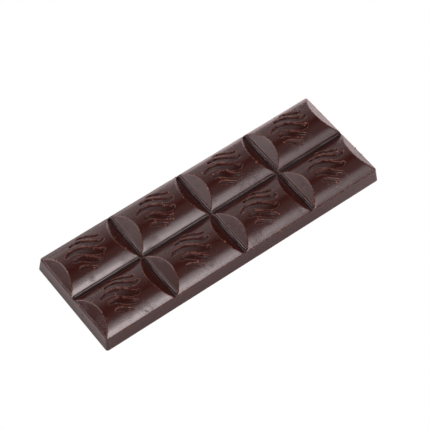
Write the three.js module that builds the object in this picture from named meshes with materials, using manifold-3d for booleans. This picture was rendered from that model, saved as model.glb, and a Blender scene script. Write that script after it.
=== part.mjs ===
// A dark chocolate bar, face up: two rows of four raised blocks on one drafted slab.
// Each block is a low vault along X with a slanted petal facet at both ends and five wavy strokes cut into it.
// Millimetres, +Z up, origin at the middle of the flat underside, long side along X.

import * as THREE from 'three';
import { mergeVertices } from 'three/addons/utils/BufferGeometryUtils.js';
import Module from 'manifold-3d';

const wasm = await Module();
wasm.setup();

// Outline of the whole bar
const barLength = 119.4;
const barWidth = 42.1;
const wallHeight = 6.1; // from the underside to the top edge of the side walls
const wallDraft = 0.7; // how far each wall leans in over its height
const cornerRadius = 1.0;
const cornerSegments = 4;

// Blocks and the grooves between them
const columns = 4;
const rows = 2;
const vaultRise = 3.5; // from the block's edge to its crown
const vaultSegments = 16;
const petalLength = 4.15; // how far a petal facet reaches in from the block's end, at the crown
const grooveWidth = 1.4; // at the level of the blocks' edges
const grooveDepth = 0.5;
const grooveSideRun = 0.4; // how far each groove side slopes in on its way down
const trimOverlap = 0.05; // the outer blocks start this much past the wall, which trims them

// Strokes, in the block's own plan: a Bezier centre line and the width at its start, middle and end
const strokes = [
  { from: [-0.4, 7.9], bendA: [3.1, 9.0], bendB: [5.1, 3.9], to: [7.3, 5.1], widths: [0.8, 1.1, 1.0] },
  { from: [-3.3, 6.4], bendA: [0.7, 7.8], bendB: [4.7, -0.4], to: [7.3, 2.4], widths: [0.9, 2.2, 1.4] },
  { from: [-6.8, 2.8], bendA: [-0.1, 6.0], bendB: [0.7, -3.1], to: [5.8, -1.5], widths: [1.6, 2.4, 1.1] },
  { from: [-5.5, -0.1], bendA: [-3.7, 1.1], bendB: [-1.7, -3.3], to: [2.6, -4.4], widths: [1.6, 2.2, 1.1] },
  { from: [-5.3, -3.9], bendA: [-4.2, -3.1], bendB: [-3.3, -5.2], to: [-0.4, -6.3], widths: [1.2, 1.3, 1.1] },
];
const strokeDepth = 0.5;
const strokeWallRun = 0.3; // how far a stroke's wall slopes in from rim to floor
const strokeClearance = 0.1; // the cutter's sloping wall starts this much above the block
const strokeSteps = 11;
const strokeCapSteps = 4;

// Air hole left in the wall at the front left corner
const airHoleRadius = 0.38;
const airHoleHeight = 3.9;

// Worked out from the sizes above
const topLength = barLength - 2 * wallDraft;
const topWidth = barWidth - 2 * wallDraft;
const floorHeight = wallHeight - grooveDepth;
const crownHeight = wallHeight + vaultRise;
const cutReach = 2; // solids that trim others run this far past them
const blockLength = (topLength + 2 * trimOverlap - (columns - 1) * grooveWidth) / columns;
const blockWidth = (topWidth + 2 * trimOverlap - (rows - 1) * grooveWidth) / rows;
const vaultRadius = ((blockWidth / 2) ** 2 + vaultRise ** 2) / (2 * vaultRise);

// Joining and cutting

function toSolid(geometry) {
  const bare = geometry.clone();
  bare.deleteAttribute('normal');
  bare.deleteAttribute('uv');
  const merged = mergeVertices(bare, 1e-4);
  const vertProperties = new Float32Array(merged.attributes.position.array);
  const triVerts = new Uint32Array(merged.index.array);
  return new wasm.Manifold(new wasm.Mesh({ numProp: 3, vertProperties, triVerts }));
}

function toGeometry(solid) {
  const mesh = solid.getMesh();
  const geometry = new THREE.BufferGeometry();
  geometry.setAttribute('position', new THREE.BufferAttribute(new Float32Array(mesh.vertProperties), 3));
  geometry.setIndex(new THREE.BufferAttribute(new Uint32Array(mesh.triVerts), 1));
  geometry.computeVertexNormals();
  return geometry;
}

// Height of the vaulted block top over its own centre line, measured across the block
function vaultHeight(y) {
  return crownHeight - vaultRadius + Math.sqrt(vaultRadius ** 2 - y ** 2);
}

// The four drafted walls, from the underside up past the crowns
function wallEnvelope() {
  const x = barLength / 2 - cornerRadius;
  const y = barWidth / 2 - cornerRadius;
  const outline = new THREE.Shape();
  outline.absarc(x, y, cornerRadius, 0, Math.PI / 2);
  outline.absarc(-x, y, cornerRadius, Math.PI / 2, Math.PI);
  outline.absarc(-x, -y, cornerRadius, Math.PI, 1.5 * Math.PI);
  outline.absarc(x, -y, cornerRadius, 1.5 * Math.PI, 2 * Math.PI);
  const geometry = new THREE.ExtrudeGeometry(outline, {
    depth: crownHeight + cutReach,
    bevelEnabled: false,
    curveSegments: cornerSegments,
  });
  const position = geometry.attributes.position;
  for (let i = 0; i < position.count; i++) {
    const lean = (wallDraft * position.getZ(i)) / wallHeight;
    position.setX(i, position.getX(i) - Math.sign(position.getX(i)) * lean);
    position.setY(i, position.getY(i) - Math.sign(position.getY(i)) * lean);
  }
  return toSolid(geometry);
}

// The slab under the blocks, up to the floor of the grooves, larger than the walls that trim it
function slab() {
  const geometry = new THREE.BoxGeometry(barLength + cutReach, barWidth + cutReach, floorHeight);
  geometry.translate(0, 0, floorHeight / 2);
  return toSolid(geometry);
}

// Cross-section of a block: sloping groove sides and an arched top
function vaultPrism() {
  const half = blockWidth / 2;
  const section = new THREE.Shape();
  section.moveTo(-half - grooveSideRun, 0);
  section.lineTo(half + grooveSideRun, 0);
  section.lineTo(half + grooveSideRun, floorHeight);
  section.lineTo(half, wallHeight);
  for (let i = 1; i < vaultSegments; i++) {
    const y = half - (i * blockWidth) / vaultSegments;
    section.lineTo(y, vaultHeight(y));
  }
  section.lineTo(-half, wallHeight);
  section.lineTo(-half - grooveSideRun, floorHeight);
  const depth = blockLength + 2 * cutReach;
  const geometry = new THREE.ExtrudeGeometry(section, { depth, bevelEnabled: false });
  geometry.translate(0, 0, -depth / 2);
  const alongX = new THREE.Matrix4().makeBasis(
    new THREE.Vector3(0, 1, 0),
    new THREE.Vector3(0, 0, 1),
    new THREE.Vector3(1, 0, 0),
  );
  geometry.applyMatrix4(alongX);
  return toSolid(geometry);
}

// Long section of a block: sloping groove sides and the two petal planes, carried on past the crown
function petalPrism() {
  const half = blockLength / 2;
  const overRun = (cutReach * petalLength) / vaultRise;
  const section = new THREE.Shape();
  section.moveTo(-half - grooveSideRun, 0);
  section.lineTo(half + grooveSideRun, 0);
  section.lineTo(half + grooveSideRun, floorHeight);
  section.lineTo(half, wallHeight);
  section.lineTo(half - petalLength - overRun, crownHeight + cutReach);
  section.lineTo(-half + petalLength + overRun, crownHeight + cutReach);
  section.lineTo(-half, wallHeight);
  section.lineTo(-half - grooveSideRun, floorHeight);
  const depth = blockWidth + 2 * cutReach;
  const geometry = new THREE.ExtrudeGeometry(section, { depth, bevelEnabled: false });
  geometry.translate(0, 0, -depth / 2);
  geometry.rotateX(Math.PI / 2);
  return toSolid(geometry);
}

// Closed plan outline of one stroke: one side, a round end, the other side back, a round start
function strokeOutline(stroke) {
  const point = (pair) => new THREE.Vector2(...pair);
  const line = new THREE.CubicBezierCurve(
    point(stroke.from), point(stroke.bendA), point(stroke.bendB), point(stroke.to));
  const [startWidth, middleWidth, endWidth] = stroke.widths;
  const halfWidth = (t) =>
    0.5 * (startWidth * (1 - t) * (1 - 2 * t) + middleWidth * 4 * t * (1 - t) + endWidth * t * (2 * t - 1));
  const offset = (t, turn) => {
    const heading = line.getTangent(t).angle() + turn;
    const reach = new THREE.Vector2(Math.cos(heading), Math.sin(heading)).multiplyScalar(halfWidth(t));
    return line.getPoint(t).add(reach);
  };
  const points = [];
  for (let i = 0; i <= strokeSteps; i++) {
    points.push(offset(i / strokeSteps, -Math.PI / 2));
  }
  for (let i = 1; i < strokeCapSteps; i++) {
    points.push(offset(1, -Math.PI / 2 + (i * Math.PI) / strokeCapSteps));
  }
  for (let i = strokeSteps; i >= 0; i--) {
    points.push(offset(i / strokeSteps, Math.PI / 2));
  }
  for (let i = 1; i < strokeCapSteps; i++) {
    points.push(offset(0, Math.PI / 2 + (i * Math.PI) / strokeCapSteps));
  }
  return points;
}

// What a stroke takes out of its block: a flat plug with a sloping wall, bent to follow the vault
function strokeCutter(stroke) {
  const wallRise = strokeDepth + strokeClearance;
  const wallRun = (strokeWallRun * wallRise) / strokeDepth;
  const rimGrowth = wallRun - strokeWallRun;
  const geometry = new THREE.ExtrudeGeometry(new THREE.Shape(strokeOutline(stroke)), {
    depth: cutReach,
    bevelEnabled: true,
    bevelSegments: 1,
    bevelThickness: wallRise,
    bevelSize: wallRun,
    bevelOffset: rimGrowth - wallRun,
  });
  const position = geometry.attributes.position;
  for (let i = 0; i < position.count; i++) {
    position.setZ(i, position.getZ(i) + strokeClearance + vaultHeight(position.getY(i)));
  }
  return toSolid(geometry);
}

function block() {
  let solid = vaultPrism().intersect(petalPrism());
  for (const stroke of strokes) {
    solid = solid.subtract(strokeCutter(stroke));
  }
  return solid;
}

function airHole() {
  const geometry = new THREE.SphereGeometry(airHoleRadius, 8, 6);
  const lean = (wallDraft * airHoleHeight) / wallHeight;
  const cornerInset = cornerRadius * (1 - Math.SQRT1_2);
  geometry.translate(-barLength / 2 + lean + cornerInset, -barWidth / 2 + lean + cornerInset, airHoleHeight);
  return toSolid(geometry);
}

function chocolateBar() {
  const oneBlock = block();
  let relief = slab();
  for (let row = 0; row < rows; row++) {
    for (let column = 0; column < columns; column++) {
      const x = (column - (columns - 1) / 2) * (blockLength + grooveWidth);
      const y = (row - (rows - 1) / 2) * (blockWidth + grooveWidth);
      relief = relief.add(oneBlock.translate([x, y, 0]));
    }
  }
  return wallEnvelope().intersect(relief).subtract(airHole());
}

const darkChocolate = new THREE.MeshStandardMaterial({ color: 0x3c211c, roughness: 0.35, metalness: 0 });

const bar = new THREE.Mesh(toGeometry(chocolateBar()), darkChocolate);
bar.name = 'chocolate_bar';

const model = new THREE.Group();
model.add(bar);

export default model;
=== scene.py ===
# A dark chocolate bar lying face up: two rows of four vaulted blocks with petal ends and wavy strokes.
# Sizes are in millimetres until a mesh is made, and metres from there on.
import math

import bmesh
import bpy
import numpy as np
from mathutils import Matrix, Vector, noise
from mathutils.geometry import delaunay_2d_cdt


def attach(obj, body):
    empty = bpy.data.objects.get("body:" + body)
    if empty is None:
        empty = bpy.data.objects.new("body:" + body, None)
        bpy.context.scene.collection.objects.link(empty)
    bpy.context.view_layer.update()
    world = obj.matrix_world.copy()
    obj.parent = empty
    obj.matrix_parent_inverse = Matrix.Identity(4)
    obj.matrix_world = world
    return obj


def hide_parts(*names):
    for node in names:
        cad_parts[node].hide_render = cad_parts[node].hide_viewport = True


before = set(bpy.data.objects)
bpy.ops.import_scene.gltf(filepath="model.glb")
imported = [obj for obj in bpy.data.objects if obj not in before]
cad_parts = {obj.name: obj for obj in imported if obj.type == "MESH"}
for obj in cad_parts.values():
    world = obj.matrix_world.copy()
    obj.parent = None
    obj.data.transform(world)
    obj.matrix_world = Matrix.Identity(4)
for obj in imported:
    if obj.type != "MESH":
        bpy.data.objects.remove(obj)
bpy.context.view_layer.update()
mm = 0.001

barSizes = {
    "length": 119.4,  # at the foot of the walls
    "width": 42.1,
    "wallHeight": 6.1,
    "wallDraft": 0.7,  # how far the walls lean in over their height
    "cornerRadius": 1.0,
    "columns": 4,
    "rows": 2,
    "crownHeight": 9.56,
    "petalLength": 4.15,  # how far a petal reaches in from the block's end
    "grooveWidth": 1.4,
    "grooveDepth": 0.5,
    "grooveSideSlope": 3.1,
    "lipCrest": 0.15,  # a flatter lip runs along the foot of each left petal, this far in
    "lipHeight": 0.42,
    "lipSlope": 0.55,
    "petalFootGrowth": 0.31,  # the foot reaches this far into the groove
    "backFootGrowth": 0.3,  # so does the back slope of a block
    "footSoftness": 0.06,
    "backFootSoftness": 0.5,
    "trimOverlap": 0.05,  # how far the end blocks reach past the top edge before they are trimmed
    "rimSoftness": 0.2,  # height over which a petal and the vault blend
    "edgeSoftness": 0.14,
    "floorSoftness": 0.16,
    "insideFoot": 0.03,  # the walls stay this far inside the moulded size
    "trimInset": 0.18,  # the outer edges are rounded over this distance
    "groovePlug": 0.3,  # how much shallower the grooves get at the bar's edge
    "plugReach": (-1.5, -0.2),  # between these distances from the edge
}

# Centre lines of the strokes in a block's own plan, with the width at the start, middle and end
strokes = [
    {"line": [(0.2, 7.85), (2.3, 8.5), (4.7, 4.35), (6.85, 4.55)],
     "widths": (0.7, 1.3, 0.95), "depth": 0.6},
    {"line": [(-3.3, 6.3), (1.0, 7.2), (2.9, 0.6), (6.8, 1.75)],
     "widths": (1.2, 2.25, 1.45), "depth": 0.62},
    {"line": [(-7.4, 2.7), (-1.1, 5.9), (1.35, -3.2), (5.1, -1.8)],
     "widths": (1.1, 2.9, 1.1), "depth": 0.68},
    {"line": [(-5.85, -0.3), (-2.2, -0.1), (-1.35, -3.65), (2.4, -4.55)],
     "widths": (1.35, 2.15, 0.8), "depth": 0.7},
    {"line": [(-5.6, -3.7), (-4.25, -3.5), (-2.75, -5.25), (-0.75, -6.1)],
     "widths": (0.85, 1.15, 0.75), "depth": 0.6},
]
strokeWall = {
    "rimRadius": 0.22,  # the rim is rounded over this distance, outside the stroke's outline
    "lean": 76.0,  # steepest slope of the wall, in degrees
    "floorSoftness": 0.05,
    "rows": (0.23, 0.17, 0.11, 0.06, 0.01, -0.04, -0.1, -0.16),  # edges of the mesh beside an outline
    "innerRow": -0.4,
    "rowStep": 0.27,
    "thinnest": 0.1,  # a row narrower than this is drawn as a single line
    "capSteps": 12,
    "samples": 120,
    "reach": (9, 9.5),  # all strokes lie within this of a block's centre
}

meshSizes = {
    "borderStep": 0.4,
    "rowStep": 0.31,
    "fillStep": 0.46,
    "rowGap": 0.075,  # no two points come closer than this
    "fillGap": 0.27,
    "cell": 0.3,  # of the grid that finds a point's neighbours
    "cornerSteps": 5,
    "arcSamples": 400,
    "arcRows": (0, -0.15, 0.15, -0.32, 0.32),  # beside the arc between a petal and the vault
    "farArcRows": (0.55, -0.55),
    "farArcGap": 0.2,
    "footRows": (-0.66, -0.56, -0.48, -0.36, -0.22, -0.13, -0.02, 0.08, 0.17, 0.25, 0.33, 0.41, 0.5),
}

topLength = barSizes["length"] - 2 * barSizes["wallDraft"]
topWidth = barSizes["width"] - 2 * barSizes["wallDraft"]
wallTop = barSizes["wallHeight"]
grooveFloor = wallTop - barSizes["grooveDepth"]
columns = barSizes["columns"]
rows = barSizes["rows"]
overlapped = 2 * barSizes["trimOverlap"]
blockLength = (topLength + overlapped - (columns - 1) * barSizes["grooveWidth"]) / columns
blockWidth = (topWidth + overlapped - (rows - 1) * barSizes["grooveWidth"]) / rows
pitchX = blockLength + barSizes["grooveWidth"]
pitchY = blockWidth + barSizes["grooveWidth"]
halfX = blockLength / 2
halfY = blockWidth / 2
vaultRise = barSizes["crownHeight"] - wallTop
vaultRadius = (halfY ** 2 + vaultRise ** 2) / (2 * vaultRise)
petalSlope = vaultRise / barSizes["petalLength"]


def smoothMin(a, b, softness):
    near = np.maximum(softness - np.abs(a - b), 0) / softness
    return np.minimum(a, b) - near * near * softness / 4


def smoothMax(a, b, softness):
    return -smoothMin(-a, -b, softness)


def smoothStep(low, high, value):
    t = np.clip((value - low) / (high - low), 0, 1)
    return t * t * (3 - 2 * t)


# Strokes: points on the centre line, the half width there, and the signed distance to the outline

def strokeLine(stroke, t):
    start, bendA, bendB, end = (np.array(p) for p in stroke["line"])
    t = np.asarray(t)[:, None]
    back = 1 - t
    return back ** 3 * start + 3 * back * back * t * bendA + 3 * back * t * t * bendB + t ** 3 * end


def strokeHalfWidth(stroke, t):
    first, middle, last = stroke["widths"]
    return 0.5 * (first * (1 - t) * (1 - 2 * t) + middle * 4 * t * (1 - t) + last * t * (2 * t - 1))


def strokeDistance(stroke, points):
    t = np.linspace(0, 1, strokeWall["samples"])
    line = strokeLine(stroke, t)
    half = strokeHalfWidth(stroke, t)
    gap = np.hypot(points[:, 0, None] - line[None, :, 0], points[:, 1, None] - line[None, :, 1])
    return (gap - half).min(axis=1)


# Which points of a block are near its strokes, and their plan
def nearStrokes(u, v):
    reachU, reachV = strokeWall["reach"]
    near = np.flatnonzero((np.abs(u) < reachU) & (np.abs(v) < reachV))
    return near, np.column_stack([u[near], v[near]])


# How far a stroke has dipped, a distance inside its outline: a rounded rim, a steep wall and a flat floor
def strokeDip(depth, inside):
    radius = strokeWall["rimRadius"]
    lean = math.radians(strokeWall["lean"])
    travelled = np.maximum(inside + radius, 0)
    turned = np.minimum(travelled, radius * math.sin(lean))
    drop = radius - np.sqrt(radius ** 2 - turned ** 2) + (travelled - turned) * math.tan(lean)
    return smoothMin(drop, np.full_like(drop, depth), strokeWall["floorSoftness"]) * (drop > 0)


def vaultHeight(v):
    return barSizes["crownHeight"] - vaultRadius + np.sqrt(vaultRadius ** 2 - v * v)


# Height of a block's surface, and of the grooves round it, in the block's own plan
def blockHeight(u, v):
    petal = wallTop + (halfX - np.abs(u)) * petalSlope
    short = np.maximum(barSizes["lipCrest"] - halfX - u, 0)
    lip = wallTop + barSizes["lipHeight"] - barSizes["lipSlope"] * short
    petal = np.where(u < 0, smoothMax(petal, lip, barSizes["footSoftness"]), petal)
    top = smoothMin(vaultHeight(v), petal, barSizes["rimSoftness"])
    near, plan = nearStrokes(u, v)
    for stroke in strokes:
        top[near] -= strokeDip(stroke["depth"], -strokeDistance(stroke, plan))
    growth = np.where(v > 0, barSizes["backFootGrowth"], 0)
    softness = np.where(v > 0, barSizes["backFootSoftness"], barSizes["edgeSoftness"])
    sideX = wallTop + (halfX + barSizes["petalFootGrowth"] - np.abs(u)) * barSizes["grooveSideSlope"]
    sideY = wallTop + (halfY + growth - np.abs(v)) * barSizes["grooveSideSlope"]
    top = smoothMin(smoothMin(top, sideX, barSizes["edgeSoftness"]), sideY, softness)
    return smoothMax(top, np.full_like(top, grooveFloor), barSizes["floorSoftness"])


# The block's mesh: points follow its edges, arcs and strokes, and a triangle grid fills the rest

class PointBed:
    def __init__(self, cell):
        self.cell = cell
        self.points = []
        self.exact = {}
        self.bins = {}

    def place(self, u, v):
        self.exact[(round(u, 5), round(v, 5))] = len(self.points)
        self.bins.setdefault((int(u // self.cell), int(v // self.cell)), []).append(len(self.points))
        self.points.append((u, v))
        return len(self.points) - 1

    # A point that an outline needs, shared where two outlines meet
    def fixed(self, u, v):
        found = self.exact.get((round(u, 5), round(v, 5)))
        return self.place(u, v) if found is None else found

    # A point that is left out where another is already near
    def loose(self, u, v, gap):
        if abs(u) > pitchX / 2 - gap or abs(v) > pitchY / 2 - gap:
            return
        binU = int(u // self.cell)
        binV = int(v // self.cell)
        for nearU in (binU - 1, binU, binU + 1):
            for nearV in (binV - 1, binV, binV + 1):
                for index in self.bins.get((nearU, nearV), ()):
                    other = self.points[index]
                    if (other[0] - u) ** 2 + (other[1] - v) ** 2 < gap * gap:
                        return
        self.place(u, v)


def stepsBetween(stops, step):
    values = []
    for low, high in zip(stops[:-1], stops[1:]):
        count = max(1, round((high - low) / step))
        values += [low + (high - low) * i / count for i in range(count)]
    return values + [stops[-1]]


# A line walked at an even step
def evenWalk(line, step):
    lengths = np.hypot(*np.diff(line, axis=0).T)
    travelled = np.concatenate([[0], np.cumsum(lengths)])
    count = max(2, int(round(travelled[-1] / step)) + 1)
    at = np.linspace(0, travelled[-1], count)
    return np.column_stack([np.interp(at, travelled, line[:, 0]), np.interp(at, travelled, line[:, 1])])


# The line on one side of another, at one distance or at one for each point
def sideLine(line, distance):
    heading = np.gradient(line, axis=0)
    heading /= np.hypot(heading[:, 0], heading[:, 1])[:, None]
    reach = np.asarray(distance)[..., None] if np.ndim(distance) else distance
    return line + reach * np.column_stack([-heading[:, 1], heading[:, 0]])


# A line round a stroke, a distance outside its outline
def strokeRow(stroke, outside):
    t = np.linspace(0, 1, strokeWall["samples"])
    line = strokeLine(stroke, t)
    reach = strokeHalfWidth(stroke, t) + outside
    if reach.min() < strokeWall["thinnest"]:
        return line
    heading = np.gradient(line, axis=0)
    caps = []
    for end, turn in ((-1, 0), (0, math.pi)):
        angle = math.atan2(heading[end][1], heading[end][0]) + turn
        sweep = angle + np.linspace(math.pi / 2, -math.pi / 2, strokeWall["capSteps"])
        caps.append(line[end] + reach[end] * np.column_stack([np.cos(sweep), np.sin(sweep)]))
    left = sideLine(line, reach)
    right = sideLine(line, -reach)
    return np.concatenate([left, caps[0], right[::-1], caps[1], left[:1]])


def blockPoints():
    bed = PointBed(meshSizes["cell"])
    edges = []
    step = meshSizes["borderStep"]
    lineX = halfX - barSizes["trimInset"]
    lineY = halfY - barSizes["trimInset"]
    turn = barSizes["cornerRadius"] + barSizes["trimOverlap"] - barSizes["trimInset"]
    endX = pitchX / 2
    endY = pitchY / 2
    stopsX = [-endX, -lineX, turn - lineX, lineX - turn, lineX, endX]
    stopsY = [-endY, -lineY, turn - lineY, lineY - turn, lineY, endY]

    def addLine(points):
        indices = [bed.fixed(u, v) for u, v in points]
        edges.extend(zip(indices[:-1], indices[1:]))

    for v in (-endY, -lineY, lineY, endY):
        addLine([(u, v) for u in stepsBetween(stopsX, step)])
    for u in (-endX, -lineX, lineX, endX):
        addLine([(u, v) for v in stepsBetween(stopsY, step)])
    cornerSteps = meshSizes["cornerSteps"]
    angles = [i * math.pi / (2 * cornerSteps) for i in range(cornerSteps + 1)]
    for signU in (-1, 1):
        for signV in (-1, 1):
            arcU = [signU * (lineX - turn + turn * math.cos(a)) for a in angles]
            arcV = [signV * (lineY - turn + turn * math.sin(a)) for a in angles]
            addLine(zip(arcU, arcV))

    for stroke in strokes:
        for outside in strokeWall["rows"]:
            addLine(evenWalk(strokeRow(stroke, outside), strokeWall["rowStep"]))
        for point in evenWalk(strokeRow(stroke, strokeWall["innerRow"]), meshSizes["rowStep"]):
            bed.loose(*point, meshSizes["fillGap"] / 2)

    gap = meshSizes["rowGap"]
    rowStep = meshSizes["rowStep"]
    v = np.linspace(-halfY, halfY, meshSizes["arcSamples"])
    reach = (vaultHeight(v) - wallTop) / petalSlope
    for sign in (-1, 1):
        arc = np.column_stack([sign * (halfX - reach), v])
        for group, leastGap in (("arcRows", gap), ("farArcRows", meshSizes["farArcGap"])):
            for away in meshSizes[group]:
                for point in evenWalk(sideLine(arc, away), rowStep):
                    bed.loose(*point, leastGap)
    for away in meshSizes["footRows"]:
        for sign in (-1, 1):
            for v in stepsBetween([-halfY - away, halfY + away], step):
                bed.loose(sign * (halfX + away), v, gap)
            for u in stepsBetween([-halfX - away, halfX + away], step):
                bed.loose(u, sign * (halfY + away), gap)
    fill = meshSizes["fillStep"]
    rowHeight = fill * math.sqrt(3) / 2
    for j in range(int(pitchY / rowHeight) + 1):
        for i in range(int(pitchX / fill) + 2):
            bed.loose(-endX + (i + 0.5 * (j % 2)) * fill, -endY + j * rowHeight, meshSizes["fillGap"])
    return bed.points, edges


def blockMesh():
    points, edges = blockPoints()
    corners = [Vector(p) for p in points]
    flat, _, faces, *_ = delaunay_2d_cdt(corners, edges, [], 0, 1e-6)
    plan = np.array([(p.x, p.y) for p in flat])
    height = blockHeight(plan[:, 0], plan[:, 1])
    mesh = bpy.data.meshes.new("blockCell")
    mesh.from_pydata((np.column_stack([plan, height]) * mm).tolist(), [], faces)
    return mesh


# Geometry Nodes: the blocks stand in rows and columns, are welded, and drift a little from the exact mould

def newInput(tree, name, kind, value=None):
    socket = tree.interface.new_socket(name=name, in_out="INPUT", socket_type=kind)
    if value is not None:
        socket.default_value = value


# A Geometry Nodes tree with a geometry, whole numbers, lengths and a material as inputs
def geometryTree(name, source, counts, lengths):
    tree = bpy.data.node_groups.new(name, "GeometryNodeTree")
    newInput(tree, source, "NodeSocketGeometry")
    for label in counts:
        newInput(tree, label, "NodeSocketInt")
    for label in lengths:
        newInput(tree, label, "NodeSocketFloat")
    newInput(tree, "Material", "NodeSocketMaterial")
    tree.interface.new_socket(name="Mesh", in_out="OUTPUT", socket_type="NodeSocketGeometry")
    return tree, tree.nodes.new("NodeGroupInput").outputs


# The last nodes of a tree: the material and the output
def finishTree(tree, geometry, material):
    finish = tree.nodes.new("GeometryNodeSetMaterial")
    tree.links.new(geometry, finish.inputs["Geometry"])
    tree.links.new(material, finish.inputs["Material"])
    tree.links.new(finish.outputs["Geometry"], tree.nodes.new("NodeGroupOutput").inputs["Mesh"])


def blockGridTree():
    tree, given = geometryTree("blockGrid", "Block", ("Columns", "Rows"),
                               ("Pitch X", "Pitch Y", "Weld Distance", "Drift", "Drift Size"))
    nodes = tree.nodes
    link = tree.links.new
    grid = nodes.new("GeometryNodeMeshGrid")
    for axis, count, pitch in (("X", "Columns", "Pitch X"), ("Y", "Rows", "Pitch Y")):
        lessOne = mathNode(tree, "SUBTRACT", given[count], 1)
        link(mathNode(tree, "MULTIPLY", lessOne, given[pitch]), grid.inputs["Size " + axis])
        link(given[count], grid.inputs["Vertices " + axis])
    stand = nodes.new("GeometryNodeInstanceOnPoints")
    link(grid.outputs["Mesh"], stand.inputs["Points"])
    link(given["Block"], stand.inputs["Instance"])
    realize = nodes.new("GeometryNodeRealizeInstances")
    link(stand.outputs["Instances"], realize.inputs["Geometry"])
    weld = nodes.new("GeometryNodeMergeByDistance")
    link(realize.outputs["Geometry"], weld.inputs["Geometry"])
    link(given["Weld Distance"], weld.inputs["Distance"])
    cloud = addNode(tree, "ShaderNodeTexNoise", noise_dimensions="3D")
    cloud.inputs["Detail"].default_value = 1.0
    link(given["Drift Size"], cloud.inputs["Scale"])
    centred = addNode(tree, "ShaderNodeVectorMath", operation="SUBTRACT")
    centred.inputs[1].default_value = (0.5, 0.5, 0.5)
    link(cloud.outputs["Color"], centred.inputs[0])
    reach = addNode(tree, "ShaderNodeVectorMath", operation="SCALE")
    link(centred.outputs[0], reach.inputs[0])
    link(given["Drift"], reach.inputs["Scale"])
    shift = nodes.new("GeometryNodeSetPosition")
    link(weld.outputs["Geometry"], shift.inputs["Geometry"])
    link(reach.outputs[0], shift.inputs["Offset"])
    finishTree(tree, shift.outputs["Geometry"], given["Material"])
    return tree


def addObject(name, data):
    item = bpy.data.objects.new(name, data)
    bpy.context.scene.collection.objects.link(item)
    return item


# A mesh made by a Geometry Nodes tree, with its inputs set by their sockets' identifiers
def grownMesh(name, source, tree, values):
    maker = addObject(name + "Maker", source)
    modifier = maker.modifiers.new("maker", "NODES")
    modifier.node_group = tree
    for item in tree.interface.items_tree:
        if item.item_type == "SOCKET" and item.in_out == "INPUT" and item.name in values:
            modifier[item.identifier] = values[item.name]
    depsgraph = bpy.context.evaluated_depsgraph_get()
    mesh = bpy.data.meshes.new_from_object(maker.evaluated_get(depsgraph))
    bpy.data.objects.remove(maker)
    mesh.name = name
    return mesh


def meshArrays(mesh):
    places = np.empty(len(mesh.vertices) * 3)
    mesh.vertices.foreach_get("co", places)
    corners = np.empty(len(mesh.loops), dtype=np.int64)
    mesh.loops.foreach_get("vertex_index", corners)
    return places.reshape(-1, 3) / mm, corners.reshape(-1, 3)


# Outline of the top edge, in plan: the corner centre that a point belongs to and the direction out
def outwards(plan):
    coreX = topLength / 2 - barSizes["cornerRadius"]
    coreY = topWidth / 2 - barSizes["cornerRadius"]
    core = np.column_stack([np.clip(plan[:, 0], -coreX, coreX), np.clip(plan[:, 1], -coreY, coreY)])
    away = plan - core
    reach = np.hypot(away[:, 0], away[:, 1])
    return core, away / np.maximum(reach, 1e-9)[:, None], reach


# A point of the wall at a height, for each corner centre and direction
def wallPoint(core, direction, height):
    spread = barSizes["wallDraft"] * (wallTop - height) / wallTop
    growX = 1 + spread / (topLength / 2 - barSizes["cornerRadius"])
    growY = 1 + spread / (topWidth / 2 - barSizes["cornerRadius"])
    plan = core * np.column_stack([growX, growY]) + direction * barSizes["cornerRadius"]
    return np.column_stack([plan, height])


farGap = 9.0
# Painted shade: how far the darker colour painted into the grooves and strokes spreads, and how strong it is
sunkenShade = {
    "strokeShare": 0.35,  # strokes are shaded less than grooves
    "softness": 0.3,
    "petalReach": 0.05,
}


# How far each point of the top is from a stroke's outline (negative inside) and from a petal's arc,
# and how much painted shade it gets down in the grooves and strokes
def rimGaps(plan):
    u, v = cellPlan(plan)
    strokeGap = np.full(len(plan), farGap)
    near, nearPlan = nearStrokes(u, v)
    for stroke in strokes:
        strokeGap[near] = np.minimum(strokeGap[near], strokeDistance(stroke, nearPlan))
    arch = vaultHeight(np.clip(v, -halfY, halfY))
    rise = wallTop + (halfX - np.abs(u)) * petalSlope - arch
    steepness = np.hypot(petalSlope, v / (vaultRadius - barSizes["crownHeight"] + arch))
    backSlope = np.where(v > 0, barSizes["backFootGrowth"], 0)
    grooveGap = np.minimum(halfX + sunkenShade["petalReach"] - np.abs(u), halfY - backSlope - np.abs(v))
    # Painted shade: full in the grooves, weaker in the strokes, fading in from their edges
    inStroke = sunkenShade["strokeShare"] * smoothStep(0.0, sunkenShade["softness"], -strokeGap)
    inGroove = smoothStep(0.0, sunkenShade["softness"], -grooveGap)
    return strokeGap, np.abs(rise) / steepness, np.maximum(inStroke, inGroove)


edgeWear = {
    "reach": 0.45,  # how far from a rim the wear fades out
    "strokeDepth": 0.015,
    "creaseDepth": 0.03,
    "size": 0.55,  # of one bite of the wear
    "strokeCentre": 0.12,  # the wear is deepest this far outside a stroke
    "onset": (-0.05, 0.5),
    "seed": 21.0,
}


# Rims and creases are a little broken: small bites, different on every block
def rimWear(places, strokeGap, creaseGap):
    nearStroke = 1 - smoothStep(0, edgeWear["reach"], np.abs(strokeGap - edgeWear["strokeCentre"]))
    nearCrease = 1 - smoothStep(0, edgeWear["reach"], creaseGap)
    worn = np.flatnonzero((nearStroke > 0) | (nearCrease > 0))
    bites = smoothStep(*edgeWear["onset"], fieldNoise(places[worn], edgeWear["size"], edgeWear["seed"]))
    deepest = nearStroke * edgeWear["strokeDepth"] + nearCrease * edgeWear["creaseDepth"]
    depth = np.zeros(len(places))
    depth[worn] = bites * deepest[worn]
    return depth


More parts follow.
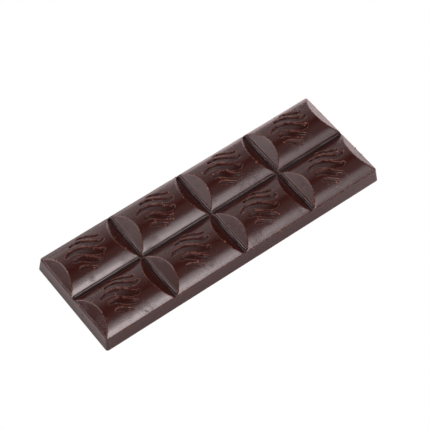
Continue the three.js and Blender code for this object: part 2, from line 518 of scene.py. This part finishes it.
# The points of the top's edge, in order
def orderedBoundary(faces):
    directed = np.concatenate([faces[:, [0, 1]], faces[:, [1, 2]], faces[:, [2, 0]]])
    top = directed.max() + 1
    forward = directed[:, 0] * top + directed[:, 1]
    backward = directed[:, 1] * top + directed[:, 0]
    lone = directed[~np.isin(forward, backward)]
    following = dict(zip(lone[:, 0].tolist(), lone[:, 1].tolist()))
    start = int(lone[0, 0])
    loop = [start]
    while following[loop[-1]] != start:
        loop.append(following[loop[-1]])
    if len(loop) != len(lone):
        raise RuntimeError("the bar's top has more than one edge loop")
    return np.array(loop)


def fieldNoise(points, size, seed):
    return np.array([noise.noise(Vector((p[0] / size, p[1] / size, p[2] / size + seed))) for p in points])


wallSizes = {
    "roundSteps": 4,
    "levels": 9,
    "footRound": 0.1,
    "footSteps": 3,
    "unevenness": 0.03,
    "swellSize": 6.0,
    "swellSeed": 3.7,
    "underStep": 1.6,
    "underInset": 0.6,  # of a step, that the inner points stay away from the outline
    "underHollow": 0.12,
    "hollowSize": 9.0,
    "hollowSeed": 11.0,
    "hollowEdge": (-0.5, 5.0),
}


# The triangles of the welded blocks that lie inside the bar's rounded top edge
def trimmedTop(topMesh):
    places, faces = meshArrays(topMesh)
    middle = places[faces].mean(axis=1)
    _, _, reach = outwards(middle[:, :2])
    limit = barSizes["cornerRadius"] - (barSizes["trimInset"] - barSizes["trimOverlap"])
    coreX = topLength / 2 - barSizes["cornerRadius"]
    coreY = topWidth / 2 - barSizes["cornerRadius"]
    inside = (np.abs(middle[:, 0]) < coreX) & (np.abs(middle[:, 1]) < coreY)
    faces = faces[inside | (reach < limit)]
    used = np.unique(faces)
    renumber = np.full(len(places), -1)
    renumber[used] = np.arange(len(used))
    return places[used], renumber[faces]


# Rings of points from the top's edge down to the foot: a rounded edge, the drafted wall and a rounded foot
def wallRings(start):
    core, direction, _ = outwards(start[:, :2])
    slope = edgeSlope(start[:, :2], direction)
    inset = barSizes["trimInset"] - barSizes["trimOverlap"]
    cornerLevel = start[:, 2] + slope * inset
    bend = wallPoint(core, direction, cornerLevel)
    end = wallPoint(core, direction, cornerLevel - np.hypot(inset, slope * inset))
    rings = []
    for i in range(1, wallSizes["roundSteps"] + 1):
        t = i / wallSizes["roundSteps"]
        rings.append((1 - t) ** 2 * start + 2 * t * (1 - t) * bend + t * t * end)
    lowest = wallSizes["footRound"]
    for i in range(1, wallSizes["levels"] + 1):
        t = i / wallSizes["levels"]
        rings.append(wallPoint(core, direction, end[:, 2] * (1 - t) + lowest * t))
    foot = rings[-1].copy()
    for i in range(1, wallSizes["footSteps"] + 1):
        angle = i / wallSizes["footSteps"] * math.pi / 2
        ring = foot.copy()
        ring[:, :2] -= direction * lowest * (1 - math.cos(angle))
        ring[:, 2] = lowest * (1 - math.sin(angle))
        rings.append(ring)
    for ring in rings[wallSizes["roundSteps"]:]:
        swell = 0.5 + 0.5 * fieldNoise(ring, wallSizes["swellSize"], wallSizes["swellSeed"])
        inward = barSizes["insideFoot"] * (1 - ring[:, 2] / wallTop) + wallSizes["unevenness"] * swell
        ring[:, :2] -= direction * inward[:, None]
    return rings


# Points, triangles and marks (stroke gap, crease gap, painted shade) of the whole bar
def barArrays(topMesh):
    places, faces = trimmedTop(topMesh)
    edgeGap = np.minimum(topLength / 2 - np.abs(places[:, 0]), topWidth / 2 - np.abs(places[:, 1]))
    raised = grooveFloor + barSizes["groovePlug"] * smoothStep(*barSizes["plugReach"], -edgeGap)
    places[:, 2] = np.maximum(places[:, 2], raised)
    strokeGap, creaseGap, paintedShade = rimGaps(places[:, :2])
    places[:, 2] -= rimWear(places, strokeGap, creaseGap)

    loop = orderedBoundary(faces)
    size = len(loop)
    start = places[loop]
    rings = wallRings(start)
    marks = [np.column_stack([strokeGap, np.minimum(creaseGap, edgeGap), paintedShade])]
    for ring in rings:
        marks.append(np.column_stack([np.full(size, farGap), start[:, 2] - ring[:, 2], np.zeros(size)]))
    vertices = [places]
    allFaces = [faces]
    previous = loop
    count = len(places)
    for ring in rings:
        current = np.arange(count, count + size)
        vertices.append(ring)
        count += size
        a, b = previous, np.roll(previous, -1)
        c, d = current, np.roll(current, -1)
        allFaces.append(np.column_stack([b, a, c]))
        allFaces.append(np.column_stack([b, c, d]))
        previous = current
    underPoints, underFaces = undersideArrays(rings[-1], previous, count)
    vertices.append(underPoints)
    allFaces.append(underFaces)
    marks.append(np.tile((farGap, farGap, 0), (len(underPoints), 1)))
    return np.concatenate(vertices), np.concatenate(allFaces), np.concatenate(marks)


# How the surface falls towards the outer edge, measured just inside it
def edgeSlope(plan, direction):
    probe = 0.12
    here = surfaceHeight(plan)
    back = surfaceHeight(plan - direction * probe)
    return (here - back) / probe


# Where a point of the bar lies in the plan of its own block
def cellPlan(plan):
    u = (plan[:, 0] + columns * pitchX / 2) % pitchX - pitchX / 2
    v = (plan[:, 1] + rows * pitchY / 2) % pitchY - pitchY / 2
    return u, v


def surfaceHeight(plan):
    u, v = cellPlan(plan)
    return blockHeight(u, v)


# The underside: a triangle grid inside the last ring, slightly hollow
def undersideArrays(ring, loop, count):
    step = wallSizes["underStep"]
    outline = [Vector((p[0], p[1])) for p in ring]
    size = len(outline)
    edges = [(i, (i + 1) % size) for i in range(size)]
    inner = []
    limitX = abs(ring[:, 0]).max() - step * wallSizes["underInset"]
    limitY = abs(ring[:, 1]).max() - step * wallSizes["underInset"]
    for j in range(int(2 * limitY / step) + 1):
        for i in range(int(2 * limitX / step) + 1):
            inner.append(Vector((-limitX + (i + 0.5 * (j % 2)) * step, -limitY + j * step)))
    inner = [p for p in inner if abs(p.x) < limitX]
    flat, _, faces, origins, *_ = delaunay_2d_cdt(outline + inner, edges, [], 1, 1e-7)
    number = {}
    points = []
    for index, source in enumerate(origins):
        ringMember = [s for s in source if s < size]
        if ringMember:
            number[index] = int(loop[ringMember[0]])
        else:
            number[index] = count + len(points)
            points.append((flat[index].x, flat[index].y, 0.0))
    points = np.array(points)
    lumps = fieldNoise(points, wallSizes["hollowSize"], wallSizes["hollowSeed"])
    hollow = wallSizes["underHollow"] * (0.5 + 0.5 * lumps)
    edgeGap = np.minimum(limitX - np.abs(points[:, 0]), limitY - np.abs(points[:, 1]))
    points[:, 2] = np.maximum(hollow * smoothStep(*wallSizes["hollowEdge"], edgeGap), 0)
    turned = [[number[f[0]], number[f[2]], number[f[1]]] for f in faces]
    return points, np.array(turned)


chocolateLook = {
    "tone": (0.036, 0.0088, 0.0066, 1.0),
    "wornTone": (0.14, 0.05, 0.034, 1.0),
    "speckTone": (0.33, 0.13, 0.075, 1.0),
    # painted shade: the darker colour given to the floors of the grooves and strokes
    "paintedShadeTone": (0.012, 0.0035, 0.0028, 1.0),
    "roughness": 0.21,
    "clouding": 0.05,  # how much the roughness varies from place to place
    "streaking": 0.1,
    "scuffRoughness": 0.12,
    "wornRoughness": 0.3,
    "grainHeight": 0.02,  # in millimetres
    "streakHeight": 1.0,  # as shares of the grain's height
    "scuffHeight": -1.2,
    "speckHeight": 2.0,
    "bumpStrength": 0.6,
    "refraction": 1.5,
}

# Noise patterns of the surface: scale (per millimetre), detail and roughness
surfaceNoise = {
    "breakup": (0.55, 4.0, 0.6),
    "fineBreakup": (2.2, 3.0, 0.6),
    "clouding": (0.12, 3.0, 0.5),
    "streaks": (1.0, 4.0, 0.65),
    "scratches": (1.0, 3.0, 0.6),
    "patches": (0.11, 2.0, 0.5),
    "grain": (3.2, 3.0, 0.6),
}
surfaceLines = {
    "streakStretch": (2.6, 0.22, 0.6),  # streaks run across the bar
    "scratchStretch": (3.4, 0.4, 0.6),
    "scratchTurns": (0.5, -0.75),  # scratches run two ways, in radians
    "scratchRange": (0.52, 0.66),
    "patchRange": (0.5, 0.6),
}
speckLook = {
    "scale": 1.15,
    "chosen": (0.6, 0.66),
    "size": 0.2,
    "edge": 0.06,
}

# Where the worn bands along the rims lie, in millimetres, and how much the noise breaks them up
rimBands = {
    "stroke": {"Centre": 0.12, "Reach": 0.27, "Least": 0.38, "Most": 0.62},
    "crease": {"Centre": 0.05, "Reach": 0.3, "Least": 0.42, "Most": 0.66},
    "specks": {"Centre": 0.15, "Reach": 0.9, "Least": 0.4, "Most": 0.5},
}


def addNode(tree, kind, **settings):
    node = tree.nodes.new(kind)
    for name, value in settings.items():
        setattr(node, name, value)
    return node


def shaderGroup(name, inputs, outputs):
    tree = bpy.data.node_groups.new(name, "ShaderNodeTree")
    for label, kind, value in inputs:
        newInput(tree, label, kind, value)
    for label, kind in outputs:
        tree.interface.new_socket(name=label, in_out="OUTPUT", socket_type=kind)
    return tree, tree.nodes.new("NodeGroupInput").outputs, tree.nodes.new("NodeGroupOutput").inputs


# A socket takes a value, or a link from another socket
def feed(tree, socket, value):
    if isinstance(value, bpy.types.NodeSocket):
        tree.links.new(value, socket)
    else:
        socket.default_value = value


def mathNode(tree, operation, *values):
    node = addNode(tree, "ShaderNodeMath", operation=operation)
    for socket, value in zip(node.inputs, values):
        feed(tree, socket, value)
    return node.outputs[0]


def rampNode(tree, value, low, high, start=0.0, end=1.0):
    node = addNode(tree, "ShaderNodeMapRange", interpolation_type="SMOOTHSTEP")
    labels = ("Value", "From Min", "From Max", "To Min", "To Max")
    for label, amount in zip(labels, (value, low, high, start, end)):
        feed(tree, node.inputs[label], amount)
    return node.outputs["Result"]


def noiseNode(tree, place, scale, detail, roughness=0.5):
    node = addNode(tree, "ShaderNodeTexNoise", noise_dimensions="3D")
    node.inputs["Scale"].default_value = scale
    node.inputs["Detail"].default_value = detail
    node.inputs["Roughness"].default_value = roughness
    tree.links.new(place, node.inputs["Vector"])
    return node.outputs["Fac"]


def stretchNode(tree, place, scale):
    node = addNode(tree, "ShaderNodeVectorMath", operation="MULTIPLY")
    node.inputs[1].default_value = scale
    tree.links.new(place, node.inputs[0])
    return node.outputs[0]


# A mask along a rim: full at the centre distance, gone at the reach, broken up by a noise value
def rimMaskGroup():
    tree, given, out = shaderGroup("rimMask", [
        ("Gap", "NodeSocketFloat", 9.0),
        ("Centre", "NodeSocketFloat", 0.0),
        ("Reach", "NodeSocketFloat", 0.3),
        ("Breakup", "NodeSocketFloat", 0.5),
        ("Least", "NodeSocketFloat", 0.45),
        ("Most", "NodeSocketFloat", 0.62),
    ], [("Mask", "NodeSocketFloat")])
    away = mathNode(tree, "ABSOLUTE", mathNode(tree, "SUBTRACT", given["Gap"], given["Centre"]))
    near = rampNode(tree, away, 0.0, given["Reach"], 1.0, 0.0)
    broken = rampNode(tree, given["Breakup"], given["Least"], given["Most"])
    tree.links.new(mathNode(tree, "MULTIPLY", near, broken), out["Mask"])
    return tree


# What the surface has everywhere: clouding, streaks across the bar, scuffs, grain and light specks
def surfaceGroup():
    tree, given, out = shaderGroup("chocolateSurface", [
        ("Place", "NodeSocketVector", None),
    ], [("Breakup", "NodeSocketFloat"), ("Fine Breakup", "NodeSocketFloat"), ("Clouding", "NodeSocketFloat"),
        ("Streaks", "NodeSocketFloat"), ("Scuffs", "NodeSocketFloat"), ("Specks", "NodeSocketFloat"),
        ("Grain", "NodeSocketFloat")])
    place = stretchNode(tree, given["Place"], (1 / mm, 1 / mm, 1 / mm))
    link = tree.links.new
    link(noiseNode(tree, place, *surfaceNoise["breakup"]), out["Breakup"])
    link(noiseNode(tree, place, *surfaceNoise["fineBreakup"]), out["Fine Breakup"])
    link(noiseNode(tree, place, *surfaceNoise["clouding"]), out["Clouding"])
    alongY = stretchNode(tree, place, surfaceLines["streakStretch"])
    link(noiseNode(tree, alongY, *surfaceNoise["streaks"]), out["Streaks"])
    scratches = []
    for turn in surfaceLines["scratchTurns"]:
        turned = addNode(tree, "ShaderNodeVectorRotate", rotation_type="Z_AXIS")
        turned.inputs["Angle"].default_value = turn
        link(place, turned.inputs["Vector"])
        along = stretchNode(tree, turned.outputs[0], surfaceLines["scratchStretch"])
        lines = noiseNode(tree, along, *surfaceNoise["scratches"])
        scratches.append(rampNode(tree, lines, *surfaceLines["scratchRange"]))
    patches = rampNode(tree, noiseNode(tree, place, *surfaceNoise["patches"]), *surfaceLines["patchRange"])
    link(mathNode(tree, "MULTIPLY", mathNode(tree, "MAXIMUM", *scratches), patches), out["Scuffs"])
    cells = addNode(tree, "ShaderNodeTexVoronoi", feature="F1")
    cells.inputs["Scale"].default_value = speckLook["scale"]
    link(place, cells.inputs["Vector"])
    pick = addNode(tree, "ShaderNodeSeparateColor")
    link(cells.outputs["Color"], pick.inputs[0])
    chosen = rampNode(tree, pick.outputs[0], *speckLook["chosen"])
    speckSize = mathNode(tree, "MULTIPLY", pick.outputs[1], speckLook["size"])
    fromEdge = mathNode(tree, "SUBTRACT", cells.outputs["Distance"], speckSize)
    spot = rampNode(tree, fromEdge, 0.0, speckLook["edge"], 1.0, 0.0)
    link(mathNode(tree, "MULTIPLY", chosen, spot), out["Specks"])
    link(noiseNode(tree, place, *surfaceNoise["grain"]), out["Grain"])
    return tree


def groupNode(tree, group, values):
    node = addNode(tree, "ShaderNodeGroup", node_tree=group)
    for label, value in values.items():
        feed(tree, node.inputs[label], value)
    return node.outputs


def mixedColour(tree, share, first, second):
    node = addNode(tree, "ShaderNodeMix", data_type="RGBA")
    for socket, value in ((0, share), (6, first), (7, second)):
        feed(tree, node.inputs[socket], value)
    return node.outputs[2]


def chocolateMaterial():
    material = bpy.data.materials.new("darkChocolate")
    material.use_nodes = True
    tree = material.node_tree
    link = tree.links.new
    shader = tree.nodes["Principled BSDF"]
    shader.inputs["IOR"].default_value = chocolateLook["refraction"]
    place = tree.nodes.new("ShaderNodeTexCoord").outputs["Object"]
    surface = groupNode(tree, surfaceGroup(), {"Place": place})
    strokeGap = addNode(tree, "ShaderNodeAttribute", attribute_name="strokeGap").outputs["Fac"]
    creaseGap = addNode(tree, "ShaderNodeAttribute", attribute_name="creaseGap").outputs["Fac"]
    rimMask = rimMaskGroup()
    breakup = surface["Breakup"]
    fineBreakup = surface["Fine Breakup"]
    nearest = mathNode(tree, "MINIMUM", strokeGap, creaseGap)

    def bandMask(name, gap, noiseValue):
        return groupNode(tree, rimMask, {"Gap": gap, "Breakup": noiseValue, **rimBands[name]})["Mask"]

    strokeRim = bandMask("stroke", strokeGap, breakup)
    worn = mathNode(tree, "MAXIMUM", strokeRim, bandMask("crease", creaseGap, fineBreakup))
    nearRim = bandMask("specks", nearest, breakup)
    speckShare = mathNode(tree, "MULTIPLY", surface["Specks"], nearRim)
    # Painted shade: the grooves and the strokes' floors are coloured darker, as if in shade
    paintedShade = addNode(tree, "ShaderNodeAttribute", attribute_name="paintedShade").outputs["Fac"]
    shadedBase = mixedColour(tree, paintedShade, chocolateLook["tone"], chocolateLook["paintedShadeTone"])
    base = mixedColour(tree, worn, shadedBase, chocolateLook["wornTone"])
    link(mixedColour(tree, speckShare, base, chocolateLook["speckTone"]), shader.inputs["Base Color"])
    rough = None
    for value, middle, share in (
            (surface["Clouding"], 0.5, 2 * chocolateLook["clouding"]),
            (surface["Streaks"], 0.5, 2 * chocolateLook["streaking"]),
            (surface["Scuffs"], 0.0, chocolateLook["scuffRoughness"]),
            (worn, 0.0, chocolateLook["wornRoughness"])):
        part = mathNode(tree, "MULTIPLY", mathNode(tree, "SUBTRACT", value, middle), share)
        rough = mathNode(tree, "ADD", part, chocolateLook["roughness"] if rough is None else rough)
    link(rough, shader.inputs["Roughness"])
    bump = addNode(tree, "ShaderNodeBump")
    bump.inputs["Strength"].default_value = chocolateLook["bumpStrength"]
    bump.inputs["Distance"].default_value = chocolateLook["grainHeight"] * mm
    height = surface["Grain"]
    for value, share in ((surface["Streaks"], "streakHeight"), (surface["Scuffs"], "scuffHeight"),
                         (speckShare, "speckHeight")):
        height = mathNode(tree, "ADD", height, mathNode(tree, "MULTIPLY", value, chocolateLook[share]))
    link(height, bump.inputs["Height"])
    link(bump.outputs["Normal"], shader.inputs["Normal"])
    return material


# Small marks of use: where each is on the bar, how wide, and how deep at its centre. The centres of the
# two chips and the pit lie off the surface by more than their radius, so nothing is pressed in there
marksOfUse = {
    "airHole": {"place": (-58.95, -20.6, 4.05), "radius": 0.42, "depth": 0.5},
    "leftNick": {"place": (-59.2, 19.9, 4.2), "radius": 0.7, "depth": 0.28},
    "rightChip": {"place": (58.3, -18.4, 6.0), "radius": 0.5, "depth": 0.22},
    "smallChip": {"place": (57.7, -16.4, 6.2), "radius": 0.35, "depth": 0.16},
    "pit": {"place": (18.7, -12.2, 8.3), "radius": 0.3, "depth": 0.15},
}


markMesh = {
    "rounds": 3,
    "reach": 2,  # radii from the centre within which edges are split
    "edge": 0.35,  # of the radius, longest edge that is left whole
    "roundness": 1.5,
}


# Each mark gets a finer mesh of its own, and the points within its radius are then pushed in
def pressMarks(mesh):
    work = bmesh.new()
    work.from_mesh(mesh)
    for mark in marksOfUse.values():
        centre = Vector(mark["place"]) * mm
        radius = mark["radius"] * mm
        wide = radius * markMesh["reach"]
        longest = radius * markMesh["edge"]
        for _ in range(markMesh["rounds"]):
            near = {f for v in work.verts if (v.co - centre).length < wide for f in v.link_faces}
            coarse = list({e for f in near for e in f.edges if e.calc_length() > longest})
            cut = bmesh.ops.subdivide_edges(work, edges=coarse, cuts=1)["geom"]
            touched = {f for part in cut if isinstance(part, bmesh.types.BMEdge) for f in part.link_faces}
            bmesh.ops.triangulate(work, faces=[f for f in touched if len(f.verts) > 3])
        work.normal_update()
        near = [v for v in work.verts if (v.co - centre).length < radius]
        inward = -sum((v.normal for v in near), Vector()).normalized()
        for vertex in near:
            share = (vertex.co - centre).length / radius
            vertex.co += inward * mark["depth"] * mm * (1 - share * share) ** markMesh["roundness"]
    work.to_mesh(mesh)
    work.free()


crumbSizes = {
    "density": 0.2,  # on each square millimetre near a rim
    "smallest": 0.05,
    "largest": 0.3,
    "rarity": 3,  # the higher, the fewer large ones
    "lumpScale": 5,
    "roughness": 0.05,
    "ceiling": 9.58,  # none reaches above this
    "rimCentre": 0.2,
    "strokeReach": 0.7,
    "creaseReach": 0.35,
    "seed": 7,
    "tone": (0.27, 0.1, 0.055, 1.0),
    "sheen": 0.6,
}


# Geometry Nodes: crumbs lie along the rims, most of them small
def crumbTree():
    tree, given = geometryTree("crumbs", "Bar", ("Seed",),
                               ("Density", "Smallest", "Largest", "Roughness", "Ceiling"))
    nodes = tree.nodes
    link = tree.links.new
    rims = []
    for name, reach in (("strokeGap", "strokeReach"), ("creaseGap", "creaseReach")):
        gap = addNode(tree, "GeometryNodeInputNamedAttribute", data_type="FLOAT")
        gap.inputs["Name"].default_value = name
        offCentre = mathNode(tree, "SUBTRACT", gap.outputs["Attribute"], crumbSizes["rimCentre"])
        rims.append(mathNode(tree, "LESS_THAN", mathNode(tree, "ABSOLUTE", offCentre), crumbSizes[reach]))
    scatter = addNode(tree, "GeometryNodeDistributePointsOnFaces", distribute_method="RANDOM")
    link(given["Bar"], scatter.inputs["Mesh"])
    link(mathNode(tree, "MAXIMUM", *rims), scatter.inputs["Selection"])
    link(given["Density"], scatter.inputs["Density"])
    link(given["Seed"], scatter.inputs["Seed"])
    ball = nodes.new("GeometryNodeMeshIcoSphere")
    ball.inputs["Radius"].default_value = 1.0
    ball.inputs["Subdivisions"].default_value = 2
    draw = addNode(tree, "FunctionNodeRandomValue", data_type="FLOAT")
    link(given["Seed"], draw.inputs["Seed"])
    size = addNode(tree, "ShaderNodeMapRange")
    link(mathNode(tree, "POWER", draw.outputs[1], crumbSizes["rarity"]), size.inputs["Value"])
    link(given["Smallest"], size.inputs["To Min"])
    link(given["Largest"], size.inputs["To Max"])
    turn = addNode(tree, "FunctionNodeRandomValue", data_type="FLOAT_VECTOR")
    turn.inputs[1].default_value = (math.tau, math.tau, math.tau)
    stand = nodes.new("GeometryNodeInstanceOnPoints")
    link(scatter.outputs["Points"], stand.inputs["Points"])
    link(ball.outputs["Mesh"], stand.inputs["Instance"])
    link(turn.outputs[0], stand.inputs["Rotation"])
    link(size.outputs["Result"], stand.inputs["Scale"])
    realize = nodes.new("GeometryNodeRealizeInstances")
    link(stand.outputs["Instances"], realize.inputs["Geometry"])
    place = nodes.new("GeometryNodeInputPosition").outputs[0]
    lumps = noiseNode(tree, place, crumbSizes["lumpScale"] / mm, 1.0)
    normal = nodes.new("GeometryNodeInputNormal")
    push = addNode(tree, "ShaderNodeVectorMath", operation="SCALE")
    link(normal.outputs[0], push.inputs[0])
    swell = mathNode(tree, "SUBTRACT", lumps, 0.5)
    link(mathNode(tree, "MULTIPLY", swell, given["Roughness"]), push.inputs["Scale"])
    dented = nodes.new("GeometryNodeSetPosition")
    link(realize.outputs["Geometry"], dented.inputs["Geometry"])
    link(push.outputs[0], dented.inputs["Offset"])
    split = nodes.new("ShaderNodeSeparateXYZ")
    join = nodes.new("ShaderNodeCombineXYZ")
    link(nodes.new("GeometryNodeInputPosition").outputs[0], split.inputs[0])
    link(split.outputs["X"], join.inputs["X"])
    link(split.outputs["Y"], join.inputs["Y"])
    link(mathNode(tree, "MINIMUM", split.outputs["Z"], given["Ceiling"]), join.inputs["Z"])
    kept = nodes.new("GeometryNodeSetPosition")
    link(dented.outputs["Geometry"], kept.inputs["Geometry"])
    link(join.outputs[0], kept.inputs["Position"])
    finishTree(tree, kept.outputs["Geometry"], given["Material"])
    return tree


def crumbMaterial():
    material = bpy.data.materials.new("chocolateCrumb")
    material.use_nodes = True
    shader = material.node_tree.nodes["Principled BSDF"]
    shader.inputs["Base Color"].default_value = crumbSizes["tone"]
    shader.inputs["Roughness"].default_value = crumbSizes["sheen"]
    return material


gridDrift = {
    "weldDistance": 0.00001,  # in metres
    "drift": 0.05,  # how far the surface strays from the exact mould
    "size": 90.0,
}

print("Stage 1: block mesh")
cell = blockMesh()
print("block triangles", len(cell.polygons))
darkChocolate = chocolateMaterial()
print("Stage 2: grid of blocks")
topMesh = grownMesh("barTop", cell, blockGridTree(), {
    "Columns": columns,
    "Rows": rows,
    "Pitch X": pitchX * mm,
    "Pitch Y": pitchY * mm,
    "Weld Distance": gridDrift["weldDistance"],
    "Drift": gridDrift["drift"] * mm,
    "Drift Size": gridDrift["size"],
    "Material": darkChocolate,
})
print("Stage 3: walls and underside")
vertices, faces, marks = barArrays(topMesh)
barMesh = bpy.data.meshes.new("chocolateBar")
barMesh.from_pydata((vertices * mm).tolist(), [], faces.tolist())
barMesh.materials.append(darkChocolate)
barMesh.polygons.foreach_set("use_smooth", [True] * len(barMesh.polygons))
for name, values in zip(("strokeGap", "creaseGap", "paintedShade"), marks.T):
    barMesh.attributes.new(name, "FLOAT", "POINT").data.foreach_set("value", values.astype(np.float32))
barMesh.validate()
pressMarks(barMesh)
bar = addObject("chocolateBar", barMesh)
print("bar triangles", len(barMesh.polygons))

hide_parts("chocolate_bar")
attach(bar, "root")

print("Stage 4: crumbs")
crumbMesh = grownMesh("crumbs", barMesh, crumbTree(), {
    "Density": crumbSizes["density"] / mm ** 2,
    "Smallest": crumbSizes["smallest"] * mm,
    "Largest": crumbSizes["largest"] * mm,
    "Roughness": crumbSizes["roughness"] * mm,
    "Ceiling": crumbSizes["ceiling"] * mm,
    "Seed": crumbSizes["seed"],
    "Material": crumbMaterial(),
})
crumbs = addObject("crumbs", crumbMesh)
print("crumb triangles", len(crumbMesh.polygons))
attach(crumbs, "root")

print("Stage 5: floor, lights and camera")
floorMesh = bpy.data.meshes.new("floor")
floorReach = 2.0
floorLevel = -0.00003
corners = [(x * floorReach, y * floorReach, floorLevel) for x, y in ((-1, -1), (1, -1), (1, 1), (-1, 1))]
floorMesh.from_pydata(corners, [], [(0, 1, 2, 3)])
floor = addObject("floor", floorMesh)


# Soft lamps round the bar: azimuth, elevation, and width and height as they look from there, all in degrees,
# and how bright
lights = {
    "frontBox": (15, 44, 15, 24, 3.1),
    "frontFill": (30, 56, 15, 24, 1.1),
    "frontWide": (0, 48, 24, 24, 0.87),
    "frontSide": (36, 48, 24, 24, 0.53),
    "frontLow": (-13, 30, 24, 24, 1.08),
    "top": (77, 66, 24, 24, 0.12),
    "rightStrip": (75, 6.5, 15, 10, 3.0),
    "rightBack": (135, 13, 24, 24, 0.45),
    "rightHigh": (142, 40, 24, 40, 0.19),
    "backLow": (180, 13, 24, 24, 0.48),
    "backMiddle": (162, 21, 24, 40, 0.27),
    "backHigh": (180, 48, 24, 24, 0.3),
    "leftBackLow": (225, 13, 24, 24, 0.75),
    "leftBack": (224, 29, 28, 24, 0.95),
    "leftBackHigh": (229, 47, 14, 11, 3.6),
    "backSpot": (195, 24, 9, 9, 6.0),
    "leftHigh": (288, 48, 24, 24, 1.5),
}
lampDistance = 0.9
lampTint = (1.04, 0.93, 0.95)
floorLook = {"azimuth": 135, "glow": 1.75, "tint": (1.12, 0.9, 0.92, 1.0), "paper": 0.85}


def directionOf(azimuth, elevation):
    turn = math.radians(azimuth)
    climb = math.radians(elevation)
    return Vector((math.sin(turn) * math.cos(climb), -math.cos(turn) * math.cos(climb), math.sin(climb)))


def softLamp(name, azimuth, elevation, width, height, glow):
    data = bpy.data.lights.new(name, "AREA")
    wide, tall = (2 * lampDistance * math.tan(math.radians(span / 2)) for span in (width, height))
    data.shape = "ELLIPSE"
    data.size = wide
    data.size_y = tall
    data.energy = glow * wide * tall * math.pi ** 3 / 4
    data.color = lampTint
    lamp = addObject(name, data)
    toward = directionOf(azimuth, elevation)
    lamp.location = toward * lampDistance
    lamp.rotation_euler = toward.to_track_quat("Z", "Y").to_euler()
    lamp.visible_camera = False


# White to the camera; paper that glows a little on one side for everything else
def floorMaterial():
    material = bpy.data.materials.new("paleFloor")
    material.use_nodes = True
    tree = material.node_tree
    nodes = tree.nodes
    link = tree.links.new
    nodes.clear()
    paper = nodes.new("ShaderNodeBsdfDiffuse")
    paper.inputs["Color"].default_value = (floorLook["paper"],) * 3 + (1,)
    place = nodes.new("ShaderNodeTexCoord")
    heading = addNode(tree, "ShaderNodeVectorMath", operation="NORMALIZE")
    side = addNode(tree, "ShaderNodeVectorMath", operation="DOT_PRODUCT")
    side.inputs[1].default_value = directionOf(floorLook["azimuth"], 0)
    sheen = nodes.new("ShaderNodeEmission")
    sheen.inputs["Color"].default_value = floorLook["tint"]
    lit = nodes.new("ShaderNodeAddShader")
    seenGlow = nodes.new("ShaderNodeEmission")
    path = nodes.new("ShaderNodeLightPath")
    mix = nodes.new("ShaderNodeMixShader")
    out = nodes.new("ShaderNodeOutputMaterial")
    link(place.outputs["Object"], heading.inputs[0])
    link(heading.outputs[0], side.inputs[0])
    lobe = mathNode(tree, "POWER", mathNode(tree, "MAXIMUM", side.outputs["Value"], 0), 2)
    link(mathNode(tree, "MULTIPLY", lobe, floorLook["glow"]), sheen.inputs["Strength"])
    link(paper.outputs[0], lit.inputs[0])
    link(sheen.outputs[0], lit.inputs[1])
    link(path.outputs["Is Camera Ray"], mix.inputs["Fac"])
    link(lit.outputs[0], mix.inputs[1])
    link(seenGlow.outputs[0], mix.inputs[2])
    link(mix.outputs[0], out.inputs["Surface"])
    return material


floorMesh.materials.append(floorMaterial())
for name, settings in lights.items():
    softLamp(name, *settings)

world = bpy.data.worlds.new("studio")
world.use_nodes = True
bpy.context.scene.world = world
worldNodes = world.node_tree.nodes
worldNodes.clear()
backdrop = worldNodes.new("ShaderNodeBackground")  # white to the camera alone
backdrop.inputs["Color"].default_value = (1, 1, 1, 1)
worldLink = world.node_tree.links.new
worldLink(worldNodes.new("ShaderNodeLightPath").outputs["Is Camera Ray"], backdrop.inputs["Strength"])
worldLink(backdrop.outputs[0], worldNodes.new("ShaderNodeOutputWorld").inputs["Surface"])

cameraView = {
    "azimuth": -36.80,
    "elevation": 55.74,
    "distance": 672.7,
    "target": (1.73, -0.13, 4.0),
    "lens": 159.31,
    "sensor": 36.0,
}


def addCamera():
    data = bpy.data.cameras.new("camera")
    data.lens = cameraView["lens"]
    data.sensor_width = cameraView["sensor"]
    data.sensor_fit = "HORIZONTAL"
    data.clip_start = 0.01
    data.clip_end = 20.0
    camera = addObject("camera", data)
    back = directionOf(cameraView["azimuth"], cameraView["elevation"])
    camera.location = (Vector(cameraView["target"]) + back * cameraView["distance"]) * mm
    camera.rotation_euler = back.to_track_quat("Z", "Y").to_euler()
    bpy.context.scene.camera = camera


addCamera()
bpy.context.scene.view_settings.view_transform = "Standard"
